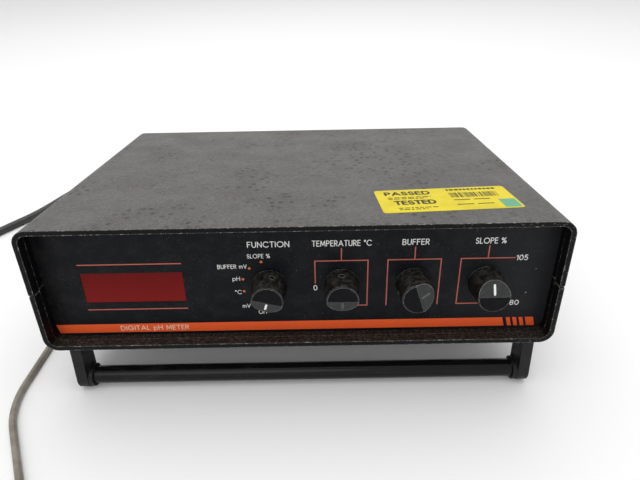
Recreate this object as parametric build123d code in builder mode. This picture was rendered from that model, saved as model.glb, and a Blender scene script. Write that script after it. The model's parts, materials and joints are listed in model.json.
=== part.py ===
from build123d import *

import os
from math import asin, atan2, cos, degrees, hypot, radians, sin, tan

# A bench pH meter: a two-part sheet steel sleeve around recessed front and rear panels, four rotary
# controls, a red display window, a folding front stand, and the electronics, sockets and leads
# that the instrument needs.
#
# Everything is drawn with the case level, in millimetres: +X to the right, +Y to the rear, +Z up, and
# the origin at the middle of the underside. finish() then leans each piece back as the open stand
# does, so that the table under the stand and the rear feet is level.

# ---------------------------------------------------------------- driving dimensions
# Sleeve
case_width = 280.0
case_depth = 193.0
case_height = 73.0
case_corner = 7.5
sheet = 1.5
hem = 1.2  # the sheet is folded back inside both open ends
hem_depth = 6.0
seam_height = 35.2
seam_gap = 0.3
seam_chamfer = 0.6
touch = 0.2  # assembly gap around panels and windows

# Panels
panel_plate = 2.0
front_inset = 11.5
rear_inset = 9.0
panel_width = case_width - 2 * (sheet + touch)
panel_height = case_height - 2 * (sheet + touch)
panel_corner = case_corner - sheet - touch
front_face = -case_depth / 2 + front_inset
front_back = front_face + panel_plate
rear_face = case_depth / 2 - rear_inset
rear_inner = rear_face - panel_plate
mid_height = case_height / 2

# Display
window_width = 55.3
window_height = 18.5
window_x = -89.35
window_z = 32.75
window_flange = 2.5
window_flange_thickness = 1.2
digit_pitch = 12.7
digit_width = 12.4
digit_height = 19.0
digit_thickness = 7.0
digit_count = 4

# Controls
control_pitch = 39.0
control_first_x = -15.0
control_z = 33.1
function_x = control_first_x
temperature_x = function_x + control_pitch
buffer_x = temperature_x + control_pitch
slope_x = buffer_x + control_pitch
function_pointer = -165.0  # clockwise from the top, as seen from the front
temperature_pointer = -180.0
buffer_pointer = 72.0
slope_pointer = 0.0
knob_base_radius = 9.6
knob_face_radius = 8.45
knob_height = 16.6
knob_gap = 0.9
knob_rim = 0.5
knob_recess_radius = 8.1
knob_recess_depth = 4.0
facet_slope = 27.0
facet_start = 0.6
grub_height = 6.4
grub_radius = 1.45
grub_length = 5.0
grub_socket = 0.8
shaft_radius = 3.175
shaft_reach = 13.5
running = 0.05
bushing_radius = 4.75
bushing_length = 6.5
control_nut_radius = 7.0
control_nut_thickness = 2.4
control_washer_thickness = 0.6
pot_radius = 12.0
pot_depth = 13.0
switch_radius = 14.5
switch_depth = 24.0
control_wall = 1.2
rotor_thickness = 2.0
rotor_gap = 2.0

# Stand
stand_x = 1.3  # the stand sits slightly to the right
stand_half_width = 130.6
arm_thickness = 6.6
pivot_y = -case_depth / 2 + 9.0
pivot_z = -6.5
tube_y = -case_depth / 2 + 8.0
tube_z = -24.0
tube_radius = 5.1
arm_end_radius = 6.9
arm_head_radius = 6.2
arm_front = 6.3
arm_edge = 1.1
ear_thickness = 2.0
ear_radius = 4.2
ear_clearance = 0.15
pin_radius = 2.0
tube_wall = 1.0
socket_depth = 3.0
collar_radius = 6.6
collar_length = 2.5
gusset_rise = 3.0
gusset_reach = 3.6
gusset_lip = 0.4
gusset_half_width = 3.4

# Feet and cover fasteners
foot_radius = 9.0
foot_height = 15.0
foot_x = 118.0
front_foot_y = -51.5
rear_foot_y = 81.0
foot_taper = 3.0
pillar_radius = 3.5
screw_radius = 1.45
screw_hole = 1.7
screw_head_radius = 2.8
screw_head_height = 2.2
screw_slot = 0.8
cover_screw_reach = 12.0  # above the inside of the bottom sheet
stud_length = 8.0
nut_thickness = 2.4
nut_radius = 3.2

# Rails
rail_sheet = 1.5
rail_tab = 12.0
rail_low = 21.0
rail_high = 52.0
rail_hole_pitch = 15.0
rail_hole_x = 132.0

# Circuit boards
board_thickness = 1.6
board_width = 204.0
board_length = 104.0
board_y = -14.0
board_z = 10.0
board_pillar_radius = 3.0
board_hole_inset = 6.0
chip_length = 19.0
chip_width = 6.4
chip_height = 3.6
chip_pitch = 24.0
chip_rows_x = 30.0
chip_rows_y = -16.0
converter_x = -58.0
converter_length = 52.0
converter_width = 14.0

# Rear panel fittings
socket_z = 32.0
probe_x = -104.0
reference_x = -78.0
cord_x = -40.0
fuse_x = -10.0
recorder_x = 70.0
banana_pitch = 19.0
cord_z = 24.0
banana_radius = 2.0
banana_tube_radius = 3.0
banana_tube_length = 22.0
banana_bore = 19.0
banana_cap_radius = 5.4
banana_cap_length = 8.0
banana_cap_chamfer = 0.8
banana_nut_radius = 5.5
bnc_radius = 4.8
bnc_length = 11.0
bnc_wall = 0.8
bnc_floor = 2.0
bnc_flange_radius = 8.0
bnc_flange_thickness = 1.2
plug_radius = 7.2
plug_length = 22.0
plug_gap = 1.5
plug_chamfer = 1.5
plug_grip = 4.0
boot_radius = 5.2
boot_length = 14.0
boot_taper = 8.0
fuse_body_radius = 6.0
fuse_body_length = 32.0
fuse_wall = 1.5
fuse_flange = 2.0
fuse_cap_length = 9.0
fuse_slot = 1.2
fuse_radius = 2.5
fuse_length = 20.0

# Leads
cord_radius = 3.3
lead_radius = 1.9
bush_radius = 6.4
bush_length = 24.0
bush_flange = 2.0
bush_flange_thickness = 3.0
bush_taper = 5.0
cord_inside = 12.0  # cord held inside the rear panel

# Inspection label
label_width = 75.0
label_depth = 32.3
label_corner = 2.0
label_x = 82.3
label_y = -case_depth / 2 + 32.65
label_turn = 3.9
label_thickness = 0.15

# ---------------------------------------------------------------- lean on the open stand
# The table touches the rear edge of the rear feet and the round ends of the stand's arms.
contact_y = rear_foot_y + foot_radius
span_y = contact_y - tube_y
span_z = -foot_height - tube_z
lean = degrees(atan2(span_z, span_y) + asin(arm_end_radius / hypot(span_y, span_z)))
leaning = Location((0, 0, 0), (-lean, 0, 0))
table = Plane(
    origin=(0, contact_y, -foot_height),
    x_dir=(1, 0, 0),
    z_dir=(0, -sin(radians(lean)), cos(radians(lean))),
)

# Planes that face out of the two panels, with their local Y up
front_plane = Plane(origin=(0, front_face, 0), x_dir=(1, 0, 0), z_dir=(0, -1, 0))
rear_plane = Plane(origin=(0, rear_face, 0), x_dir=(-1, 0, 0), z_dir=(0, 1, 0))
rear_edge = Plane.XZ.offset(-case_depth / 2)

control_x = (function_x, temperature_x, buffer_x, slope_x)
control_places = [(x, control_z) for x in control_x]
foot_places = [(side * foot_x, y) for side in (-1, 1) for y in (front_foot_y, rear_foot_y)]
rail_hole_places = [
    (side * rail_hole_x, mid_height + step * rail_hole_pitch / 2)
    for side in (-1, 1)
    for step in (-1, 1)
]

os.makedirs("parts", exist_ok=True)


def finish(piece, name):
    """Leans a finished piece back with the case, labels it and writes its STEP file."""
    piece.part.move(leaning)
    piece.part.label = name
    export_step(piece.part, f"parts/{name}.step")


# ---------------------------------------------------------------- sleeve
# The sleeve's walls: one sheet for its whole depth, and a double thickness at each open end
sleeve_bands = (
    (rear_edge, case_depth, sheet),
    (rear_edge, hem_depth, sheet + hem),
    (Plane.XZ.offset(case_depth / 2 - hem_depth), hem_depth, sheet + hem),
)


def sleeve_half(low, high, screw_places=()):
    """One folded half of the sleeve: what lies between two heights, with chamfered seam corners."""
    with BuildPart() as half:
        for start, depth, wall in sleeve_bands:
            with BuildSketch(start):
                with Locations((0, mid_height)):
                    RectangleRounded(case_width, case_height, case_corner)
                    RectangleRounded(
                        case_width - 2 * wall,
                        case_height - 2 * wall,
                        case_corner - wall,
                        mode=Mode.SUBTRACT,
                    )
                with Locations((0, (low + high) / 2)):
                    Rectangle(case_width + 1, high - low, mode=Mode.INTERSECT)
            extrude(amount=depth)
        across = half.edges().filter_by(Axis.X)
        short = across.filter_by(lambda edge: edge.length < 2 * (sheet + hem))
        by_depth = short.group_by(Axis.Y)
        chamfer(by_depth[0] + by_depth[-1], length=seam_chamfer)
        if screw_places:
            with Locations(*[(x, y, sheet) for x, y in screw_places]):
                Hole(screw_hole, depth=2 * sheet)
    return half


top_cover = sleeve_half(seam_height + seam_gap, case_height)
bottom_cover = sleeve_half(0, seam_height, foot_places)

finish(top_cover, "top_cover")
finish(bottom_cover, "bottom_cover")

with BuildPart() as cover_pillars:
    with BuildSketch(Plane.XY.offset(sheet)):
        with Locations(*foot_places):
            RegularPolygon(pillar_radius, 6)
    extrude(amount=case_height - 2 * sheet)
    with BuildSketch(Plane.XY.offset(sheet)):
        with Locations(*foot_places):
            Circle(screw_radius + running)
    extrude(amount=foot_height, mode=Mode.SUBTRACT)
finish(cover_pillars, "cover_pillars")

with BuildPart() as feet:
    with BuildSketch(Plane.XY.offset(-foot_height)):
        with Locations(*foot_places):
            Circle(foot_radius)
    extrude(amount=foot_height, taper=-foot_taper)
    with Locations(*[(x, y, -foot_height) for x, y in foot_places]):
        with Locations(Location((0, 0, 0), (180, 0, 0))):
            CounterBoreHole(screw_hole, screw_head_radius + touch, foot_height / 2, foot_height)
finish(feet, "feet")


def slotted_screws(plane, places, head_height, head_radius, shank, length):
    """Pan-head screws whose heads stand on the plane and whose shanks run down from it."""
    with BuildPart() as screws:
        with BuildSketch(plane):
            with Locations(*places):
                Circle(head_radius)
        extrude(amount=head_height)
        chamfer(screws.edges().filter_by(GeomType.CIRCLE).group_by(SortBy.LENGTH)[-1], head_height / 4)
        with BuildSketch(plane.offset(head_height)):
            with Locations(*places):
                SlotOverall(2 * head_radius + 1, screw_slot)
        extrude(amount=-head_height / 2, mode=Mode.SUBTRACT)
        with BuildSketch(plane):
            with Locations(*places):
                Circle(shank)
        extrude(amount=-length)
    return screws


head_seat = Plane(origin=(0, 0, -foot_height / 2), x_dir=(1, 0, 0), z_dir=(0, 0, -1))
cover_screws = slotted_screws(
    head_seat,
    [(x, -y) for x, y in foot_places],
    screw_head_height,
    screw_head_radius,
    screw_radius,
    foot_height / 2 + sheet + cover_screw_reach,
)
finish(cover_screws, "cover_screws")

# ---------------------------------------------------------------- panels and rails
with BuildPart() as front_panel:
    with BuildSketch(front_plane):
        with Locations((0, mid_height)):
            RectangleRounded(panel_width, panel_height, panel_corner)
        with Locations((window_x, window_z)):
            Rectangle(window_width, window_height, mode=Mode.SUBTRACT)
        with Locations(*control_places):
            Circle(bushing_radius + touch, mode=Mode.SUBTRACT)
    extrude(amount=-panel_plate)
    # Studs pressed into the back
    with BuildSketch(front_plane.offset(-panel_plate)):
        with Locations(*rail_hole_places):
            Circle(screw_radius)
    extrude(amount=-stud_length)
finish(front_panel, "front_panel")

with BuildPart() as display_window:
    with BuildSketch(front_plane.offset(-touch)):
        with Locations((window_x, window_z)):
            Rectangle(window_width - touch, window_height - touch)
    extrude(amount=touch - panel_plate)
    with BuildSketch(front_plane.offset(-panel_plate)):
        with Locations((window_x, window_z)):
            Rectangle(window_width + 2 * window_flange, window_height + 2 * window_flange)
    extrude(amount=-window_flange_thickness)
finish(display_window, "display_window")

banana_x = (reference_x, recorder_x, recorder_x + banana_pitch)
with BuildPart() as rear_panel:
    with BuildSketch(rear_plane):
        with Locations((0, mid_height)):
            RectangleRounded(panel_width, panel_height, panel_corner)
        with Locations(*[(-x, socket_z) for x in banana_x]):
            Circle(banana_tube_radius + running, mode=Mode.SUBTRACT)
        with Locations((-probe_x, socket_z)):
            Circle(bnc_radius + running, mode=Mode.SUBTRACT)
        with Locations((-cord_x, cord_z), (-fuse_x, cord_z)):
            Circle(bush_radius, mode=Mode.SUBTRACT)
        with Locations(*rail_hole_places):
            Circle(screw_hole, mode=Mode.SUBTRACT)
    extrude(amount=-panel_plate)
finish(rear_panel, "rear_panel")

with BuildPart() as side_rails:
    with BuildSketch(Plane.XY.offset(rail_low)):
        with Locations((panel_width / 2, (front_back + rear_inner) / 2)):
            Rectangle(rail_tab, rear_inner - front_back, align=(Align.MAX, Align.CENTER))
        with Locations((panel_width / 2 - rail_sheet, (front_back + rear_inner) / 2)):
            Rectangle(
                rail_tab,
                rear_inner - front_back - 2 * rail_sheet,
                align=(Align.MAX, Align.CENTER),
                mode=Mode.SUBTRACT,
            )
    extrude(amount=rail_high - rail_low)
    with BuildSketch(front_plane):
        with Locations(*rail_hole_places):
            Circle(screw_hole)
    extrude(amount=-case_depth, mode=Mode.SUBTRACT)
    mirror(about=Plane.YZ)
finish(side_rails, "side_rails")

with BuildPart() as panel_nuts:
    for panel_plane in (front_plane, rear_plane):
        with BuildSketch(panel_plane.offset(-panel_plate - rail_sheet)):
            with Locations(*rail_hole_places):
                RegularPolygon(nut_radius, 6)
                Circle(screw_radius + running, mode=Mode.SUBTRACT)
        extrude(amount=-nut_thickness)
finish(panel_nuts, "panel_nuts")

rear_panel_screws = slotted_screws(
    rear_plane, rail_hole_places, screw_head_height, screw_head_radius, screw_radius, stud_length
)
finish(rear_panel_screws, "rear_panel_screws")

# ---------------------------------------------------------------- stand
# The arms, tube and pins fold together about the pins; the two ears are welded under the sleeve.
arm_inner_x = stand_x + stand_half_width - arm_thickness
arm_middle = stand_half_width - arm_thickness / 2  # from the middle of the stand
slot_width = ear_thickness + 2 * ear_clearance


def ear(side):
    """A hanging lug with a pin hole, in the middle of an arm's fork."""
    with BuildPart() as lug:
        with BuildSketch(Plane.YZ.offset(stand_x + side * arm_middle - ear_thickness / 2)):
            with Locations((pivot_y, pivot_z)):
                Circle(ear_radius)
                Rectangle(2 * ear_radius, -pivot_z, align=(Align.CENTER, Align.MIN))
                Circle(pin_radius + running, mode=Mode.SUBTRACT)
        extrude(amount=ear_thickness)
    return lug


with BuildPart() as stand_ears:
    add(ear(-1).part)
    add(ear(1).part)
finish(stand_ears, "stand_ears")

with BuildPart() as stand_right_arm:
    head_top = pivot_z + arm_head_radius
    with BuildSketch(Plane.YZ.offset(arm_inner_x)):
        with BuildLine():
            Line((pivot_y - arm_front, head_top), (pivot_y, head_top))
            RadiusArc((pivot_y, head_top), (pivot_y + arm_head_radius, pivot_z), arm_head_radius)
            Line((pivot_y + arm_head_radius, pivot_z), (tube_y + arm_end_radius, tube_z))
            ThreePointArc(
                (tube_y + arm_end_radius, tube_z),
                (tube_y, tube_z - arm_end_radius),
                (tube_y - arm_end_radius, tube_z),
            )
            Line((tube_y - arm_end_radius, tube_z), (pivot_y - arm_front, head_top))
        make_face()
    extrude(amount=arm_thickness)
    outer_rim = stand_right_arm.faces().sort_by(Axis.X)[-1].outer_wire().edges()
    fillet(outer_rim.sort_by(Axis.Z)[:-1], arm_edge)
    # Collar round the tube, and a hollow-curved gusset on top of it
    with BuildSketch(Plane.YZ.offset(arm_inner_x)):
        with Locations((tube_y, tube_z)):
            Circle(collar_radius)
    extrude(amount=-collar_length)
    with BuildSketch(Plane.XZ.offset(-tube_y)):
        tube_top = tube_z + tube_radius
        with BuildLine():
            Polyline(
                (arm_inner_x, tube_top + gusset_rise),
                (arm_inner_x, tube_z),
                (arm_inner_x - gusset_reach, tube_z),
                (arm_inner_x - gusset_reach, tube_top + gusset_lip),
            )
            ThreePointArc(
                (arm_inner_x - gusset_reach, tube_top + gusset_lip),
                (arm_inner_x - gusset_reach / 3, tube_top + gusset_rise / 3),
                (arm_inner_x, tube_top + gusset_rise),
            )
        make_face()
    extrude(amount=gusset_half_width, both=True)
    # Socket for the tube, fork slot for the ear, and the pin hole
    with BuildSketch(Plane.YZ.offset(arm_inner_x - gusset_reach)):
        with Locations((tube_y, tube_z)):
            Circle(tube_radius + running)
    extrude(amount=gusset_reach + socket_depth, mode=Mode.SUBTRACT)
    with BuildSketch(Plane.YZ.offset(stand_x + arm_middle - slot_width / 2)):
        slot_reach = ear_radius + 2 * touch
        with Locations((pivot_y - slot_reach, pivot_z - slot_reach)):
            Rectangle(4 * ear_radius, 4 * ear_radius, align=(Align.MIN, Align.MIN))
    extrude(amount=slot_width, mode=Mode.SUBTRACT)
    with BuildSketch(Plane.YZ.offset(arm_inner_x)):
        with Locations((pivot_y, pivot_z)):
            Circle(pin_radius)
    extrude(amount=arm_thickness, mode=Mode.SUBTRACT)

with BuildPart() as stand_left_arm:
    mirror(stand_right_arm.part, about=Plane.YZ.offset(stand_x))

finish(stand_right_arm, "stand_right_arm")
finish(stand_left_arm, "stand_left_arm")

with BuildPart() as stand_tube:
    tube_reach = stand_half_width - arm_thickness + socket_depth - touch
    with BuildSketch(Plane.YZ.offset(stand_x - tube_reach)):
        with Locations((tube_y, tube_z)):
            Circle(tube_radius)
            Circle(tube_radius - tube_wall, mode=Mode.SUBTRACT)
    extrude(amount=2 * tube_reach)
finish(stand_tube, "stand_tube")

with BuildPart() as stand_pins:
    for side in (-1, 1):
        with BuildSketch(Plane.YZ.offset(stand_x + side * arm_middle)):
            with Locations((pivot_y, pivot_z)):
                Circle(pin_radius)
        extrude(amount=arm_thickness / 2 - running, both=True)
finish(stand_pins, "stand_pins")

# ---------------------------------------------------------------- controls
def knob_plane(x, pointer):
    """The plane of a knob's base, facing out of the panel, with its local Y along the pointer."""
    middle = (x, front_face - knob_gap, control_z)
    turn = radians(pointer)
    return Plane(middle, x_dir=(cos(turn), 0, -sin(turn)), z_dir=(0, -1, 0))


def knob(x, pointer):
    """A tapered knob whose pointer half slopes back to the side, drilled for its shaft and screw."""
    turned = knob_plane(x, pointer)
    side_plane = Plane(turned.origin, x_dir=turned.y_dir, z_dir=turned.x_dir)
    with BuildPart() as body:
        with BuildSketch(side_plane):
            with BuildLine():
                Polyline(
                    (0, 0),
                    (knob_base_radius, 0),
                    (knob_face_radius, knob_height - knob_rim),
                    (knob_face_radius - knob_rim, knob_height),
                    (0, knob_height),
                    close=True,
                )
            make_face()
        revolve(axis=Axis(turned.origin, turned.z_dir))
        # The facet starts near the middle of the face and falls away towards the pointer's side
        reach = knob_base_radius + 1
        fall = (reach - facet_start) * tan(radians(facet_slope))
        with BuildSketch(side_plane):
            with BuildLine():
                Polyline(
                    (facet_start, knob_height),
                    (reach, knob_height),
                    (reach, knob_height - fall),
                    close=True,
                )
            make_face()
        extrude(amount=reach, both=True, mode=Mode.SUBTRACT)
        with BuildSketch(turned):
            Circle(knob_recess_radius)
        extrude(amount=knob_recess_depth, mode=Mode.SUBTRACT)
        with BuildSketch(turned):
            Circle(shaft_radius + running)
        extrude(amount=shaft_reach, mode=Mode.SUBTRACT)
        grub_axis = Plane(
            turned.from_local_coords((0, 0, grub_height)), x_dir=turned.x_dir, z_dir=-turned.y_dir
        )
        with BuildSketch(grub_axis):
            Circle(grub_radius + running)
        extrude(amount=knob_base_radius + 1, mode=Mode.SUBTRACT)
    return body


def grub_screw(x, pointer):
    """A headless socket screw that bears on the shaft from the side away from the pointer."""
    turned = knob_plane(x, pointer)
    seat = turned.from_local_coords((0, -shaft_radius - running, grub_height))
    with BuildPart() as screw:
        with BuildSketch(Plane(seat, x_dir=turned.x_dir, z_dir=-turned.y_dir)):
            Circle(grub_radius)
        extrude(amount=grub_length)
        with BuildSketch(
            Plane(seat, x_dir=turned.x_dir, z_dir=-turned.y_dir).offset(grub_length)
        ):
            RegularPolygon(grub_socket, 6)
        extrude(amount=-grub_length / 2, mode=Mode.SUBTRACT)
    return screw


def control_shaft(x, depth, rotor_radius):
    """A turned shaft from the knob to the rotor disc inside the control's housing."""
    with BuildPart() as spindle:
        with BuildSketch(front_plane.offset(knob_gap + shaft_reach - touch)):
            with Locations((x, control_z)):
                Circle(shaft_radius)
        length = knob_gap + shaft_reach - touch + panel_plate + depth - control_wall - touch
        extrude(amount=-length)
        with BuildSketch(front_plane.offset(-panel_plate - depth / 2)):
            with Locations((x, control_z)):
                Circle(rotor_radius)
        extrude(amount=-rotor_thickness)
    return spindle


def control_housings(places, radius, depth):
    """Control cases with their threaded bushings, hollow inside and open at the rear."""
    with BuildPart() as housings:
        with BuildSketch(front_plane.offset(-panel_plate)):
            with Locations(*places):
                Circle(radius)
        extrude(amount=-depth)
        with BuildSketch(front_plane.offset(-panel_plate)):
            with Locations(*places):
                Circle(bushing_radius)
        extrude(amount=bushing_length)
        with BuildSketch(front_plane.offset(-panel_plate - control_wall)):
            with Locations(*places):
                Circle(radius - control_wall)
        extrude(amount=-depth, mode=Mode.SUBTRACT)
        with BuildSketch(front_plane.offset(bushing_length)):
            with Locations(*places):
                Circle(shaft_radius + running)
        extrude(amount=-2 * bushing_length, mode=Mode.SUBTRACT)
    return housings


function_knob = knob(function_x, function_pointer)
temperature_knob = knob(temperature_x, temperature_pointer)
buffer_knob = knob(buffer_x, buffer_pointer)
slope_knob = knob(slope_x, slope_pointer)
finish(function_knob, "function_knob")
finish(temperature_knob, "temperature_knob")
finish(buffer_knob, "buffer_knob")
finish(slope_knob, "slope_knob")

finish(grub_screw(function_x, function_pointer), "function_grub_screw")
finish(grub_screw(temperature_x, temperature_pointer), "temperature_grub_screw")
finish(grub_screw(buffer_x, buffer_pointer), "buffer_grub_screw")
finish(grub_screw(slope_x, slope_pointer), "slope_grub_screw")

rotor_radius = pot_radius - control_wall - rotor_gap
finish(control_shaft(function_x, switch_depth, rotor_radius), "function_shaft")
finish(control_shaft(temperature_x, pot_depth, rotor_radius), "temperature_shaft")
finish(control_shaft(buffer_x, pot_depth, rotor_radius), "buffer_shaft")
finish(control_shaft(slope_x, pot_depth, rotor_radius), "slope_shaft")

finish(control_housings(control_places[:1], switch_radius, switch_depth), "function_switch")
finish(control_housings(control_places[1:], pot_radius, pot_depth), "potentiometers")

with BuildPart() as control_end_caps:
    pot_places = control_places[1:]
    with BuildSketch(front_plane.offset(-panel_plate - pot_depth + control_wall)):
        with Locations(*pot_places):
            Circle(pot_radius - control_wall)
    extrude(amount=-control_wall)
    with BuildSketch(front_plane.offset(-panel_plate - switch_depth + control_wall)):
        with Locations(control_places[0]):
            Circle(switch_radius - control_wall)
    extrude(amount=-control_wall)
finish(control_end_caps, "control_end_caps")

with BuildPart() as control_washers:
    with BuildSketch(front_plane):
        with Locations(*control_places):
            Circle(control_nut_radius)
            Circle(bushing_radius + running, mode=Mode.SUBTRACT)
    extrude(amount=control_washer_thickness)
finish(control_washers, "control_washers")

with BuildPart() as control_nuts:
    with BuildSketch(front_plane.offset(control_washer_thickness)):
        with Locations(*control_places):
            RegularPolygon(control_nut_radius, 6)
            Circle(bushing_radius + running, mode=Mode.SUBTRACT)
    extrude(amount=control_nut_thickness)
finish(control_nuts, "control_nuts")

# ---------------------------------------------------------------- display
digit_front = panel_plate + window_flange_thickness + touch
display_board_face = digit_front + digit_thickness
display_board_width = 72.0
display_board_height = 34.0
display_pillar_radius = 2.2
display_pillar_x = 33.0
display_pillar_z = 14.0
display_pillar_places = [
    (window_x + i * display_pillar_x, window_z + k * display_pillar_z) for i in (-1, 1) for k in (-1, 1)
]

with BuildPart() as display_digits:
    with BuildSketch(front_plane.offset(-digit_front)):
        with Locations((window_x, window_z)):
            with GridLocations(digit_pitch, digit_height, digit_count, 1):
                Rectangle(digit_width, digit_height)
    extrude(amount=-digit_thickness)
finish(display_digits, "display_digits")

with BuildPart() as display_board:
    with BuildSketch(front_plane.offset(-display_board_face)):
        with Locations((window_x, window_z)):
            Rectangle(display_board_width, display_board_height)
    extrude(amount=-board_thickness)
finish(display_board, "display_board")

# ---------------------------------------------------------------- main board
board_top = board_z + board_thickness
board_pillar_places = [
    (i * (board_width / 2 - board_hole_inset), board_y + k * (board_length / 2 - board_hole_inset))
    for i in (-1, 1)
    for k in (-1, 1)
]

with BuildPart() as main_board:
    with BuildSketch(Plane.XY.offset(board_z)):
        with Locations((0, board_y)):
            Rectangle(board_width, board_length)
        with Locations(*board_pillar_places):
            Circle(screw_hole, mode=Mode.SUBTRACT)
    extrude(amount=board_thickness)
finish(main_board, "main_board")

# Hexagonal spacers under the main board, and round ones between the front panel and display board
with BuildPart() as board_spacers:
    with BuildSketch(Plane.XY.offset(sheet)):
        with Locations(*board_pillar_places):
            RegularPolygon(board_pillar_radius, 6)
            Circle(screw_radius + running, mode=Mode.SUBTRACT)
    extrude(amount=board_z - sheet)
    with BuildSketch(front_plane.offset(-panel_plate)):
        with Locations(*display_pillar_places):
            Circle(display_pillar_radius)
    extrude(amount=panel_plate - display_board_face)
finish(board_spacers, "board_spacers")

board_screws = slotted_screws(
    Plane.XY.offset(board_top),
    board_pillar_places,
    screw_head_height,
    screw_head_radius,
    screw_radius,
    board_thickness + board_z / 2,
)
finish(board_screws, "board_screws")

# A large converter chip at the left, and two rows of amplifier chips
with BuildPart() as circuit_chips:
    with BuildSketch(Plane.XY.offset(board_top)):
        with Locations((chip_rows_x, chip_rows_y)):
            with GridLocations(chip_pitch, chip_pitch, 4, 2):
                Rectangle(chip_length, chip_width)
        with Locations((converter_x, chip_rows_y + chip_pitch / 2)):
            Rectangle(converter_length, converter_width)
    extrude(amount=chip_height)
    chamfer(circuit_chips.faces().group_by(Axis.Z)[-1].edges(), chip_height / 4)
finish(circuit_chips, "circuit_chips")

trimmer_x = -66.0
trimmer_size = 9.5
trimmer_height = 5.0
trimmer_pitch = 13.3
trimmer_slot_depth = 1.0
trimmer_y = board_y + board_length / 2 - 2 * trimmer_size
with BuildPart() as trimmers:
    with BuildSketch(Plane.XY.offset(board_top)):
        with Locations((trimmer_x, trimmer_y)):
            with GridLocations(trimmer_pitch, trimmer_size, 4, 1):
                Rectangle(trimmer_size, trimmer_size)
    extrude(amount=trimmer_height)
    with BuildSketch(Plane.XY.offset(board_top + trimmer_height)):
        with Locations((trimmer_x, trimmer_y)):
            with GridLocations(trimmer_pitch, trimmer_size, 4, 1):
                SlotOverall(trimmer_size / 2, screw_slot)
    extrude(amount=-trimmer_slot_depth, mode=Mode.SUBTRACT)
finish(trimmers, "trimmers")

resistor_length = 8.0
resistor_radius = 1.4
resistor_count = 8
with BuildPart() as resistors:
    with BuildSketch(Plane.YZ.offset(converter_x)):
        with Locations((chip_rows_y - chip_pitch / 2, board_top + resistor_radius)):
            with GridLocations(3 * resistor_radius, resistor_radius, resistor_count, 1):
                Circle(resistor_radius)
    extrude(amount=resistor_length)
    chamfer(resistors.edges().filter_by(GeomType.CIRCLE), resistor_radius / 3)
finish(resistors, "resistors")

capacitor_radius = 8.0
capacitor_height = 25.0
capacitor_x = 80.0
with BuildPart() as smoothing_capacitors:
    with BuildSketch(Plane.XY.offset(board_top)):
        with Locations((capacitor_x, trimmer_y)):
            with GridLocations(2.4 * capacitor_radius, capacitor_radius, 2, 1):
                Circle(capacitor_radius)
    extrude(amount=capacitor_height)
    fillet(smoothing_capacitors.edges().group_by(Axis.Z)[-1], 1)
finish(smoothing_capacitors, "smoothing_capacitors")

# Heatsink: a base plate with fins, standing on the board, and the regulator bolted to it
heatsink_x = 40.0
heatsink_width = 30.0
heatsink_height = 25.0
heatsink_plate = 2.0
fin_depth = 8.0
fin_pitch = 5.0
fin_thickness = 1.2
fin_count = 6
with BuildPart() as regulator_heatsink:
    with BuildSketch(Plane.XY.offset(board_top)):
        with Locations((heatsink_x, trimmer_y)):
            Rectangle(heatsink_width, heatsink_plate)
            with GridLocations(fin_pitch, fin_depth, fin_count, 1):
                with Locations((0, fin_depth / 2)):
                    Rectangle(fin_thickness, fin_depth)
    extrude(amount=heatsink_height)
finish(regulator_heatsink, "regulator_heatsink")

# A metal tab against the heatsink, with the moulded body low on it and three legs in the board
regulator_width = 10.0
regulator_tab_height = 15.0
regulator_tab_thickness = 1.3
regulator_body_height = 9.0
regulator_body_thickness = 4.4
leg_pitch = 2.54
leg_size = 0.9
leg_offset = 3.0
with BuildPart() as voltage_regulator:
    regulator_face = Plane.XZ.offset(-trimmer_y + heatsink_plate / 2)
    with BuildSketch(regulator_face):
        with Locations((heatsink_x, board_top + heatsink_height / 2)):
            Rectangle(regulator_width, regulator_tab_height)
    extrude(amount=regulator_tab_thickness)
    with BuildSketch(regulator_face):
        with Locations((heatsink_x, board_top + heatsink_height / 2 - leg_offset)):
            Rectangle(regulator_width, regulator_body_height)
    extrude(amount=regulator_body_thickness)
    with BuildSketch(Plane.XY.offset(board_top)):
        with Locations((heatsink_x, trimmer_y - leg_offset)):
            with GridLocations(leg_pitch, leg_size, 3, 1):
                Rectangle(leg_size, leg_size)
    extrude(amount=heatsink_height / 4)
finish(voltage_regulator, "voltage_regulator")

# ---------------------------------------------------------------- transformer
core_width = 48.0
core_depth = 22.0
core_height = 40.0
core_limb = 16.0
transformer_x = 34.0
transformer_y = 58.0
tab_length = 9.0
tab_thickness = 1.5
coil_gap = 1.0
coil_corner = 3.0
with BuildPart() as transformer_core:
    with BuildSketch(Plane.XZ.offset(-transformer_y - core_depth / 2)):
        with Locations((transformer_x, sheet + core_height / 2)):
            Rectangle(core_width, core_height)
            with Locations((-core_limb, 0), (core_limb, 0)):
                Rectangle(core_limb / 2, core_height - core_limb, mode=Mode.SUBTRACT)
    extrude(amount=core_depth)
    with BuildSketch(Plane.XY.offset(sheet)):
        with Locations((transformer_x, transformer_y)):
            Rectangle(core_width + 2 * tab_length, core_depth)
            with GridLocations(core_width + tab_length, 1, 2, 1):
                Circle(screw_hole, mode=Mode.SUBTRACT)
    extrude(amount=tab_thickness)
finish(transformer_core, "transformer_core")

with BuildPart() as transformer_coil:
    coil_side = core_limb / 2
    coil_height = core_height - core_limb - coil_gap
    coil_width = 3 * core_limb - coil_side - coil_gap
    coil_plane = Plane.XY.offset(sheet + core_height / 2 - coil_height / 2)
    with BuildSketch(coil_plane):
        with Locations((transformer_x, transformer_y)):
            RectangleRounded(coil_width, core_depth + 2 * coil_side, coil_corner)
            Rectangle(3 * coil_side + touch, core_depth + touch, mode=Mode.SUBTRACT)
    extrude(amount=coil_height)
finish(transformer_coil, "transformer_coil")

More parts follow.
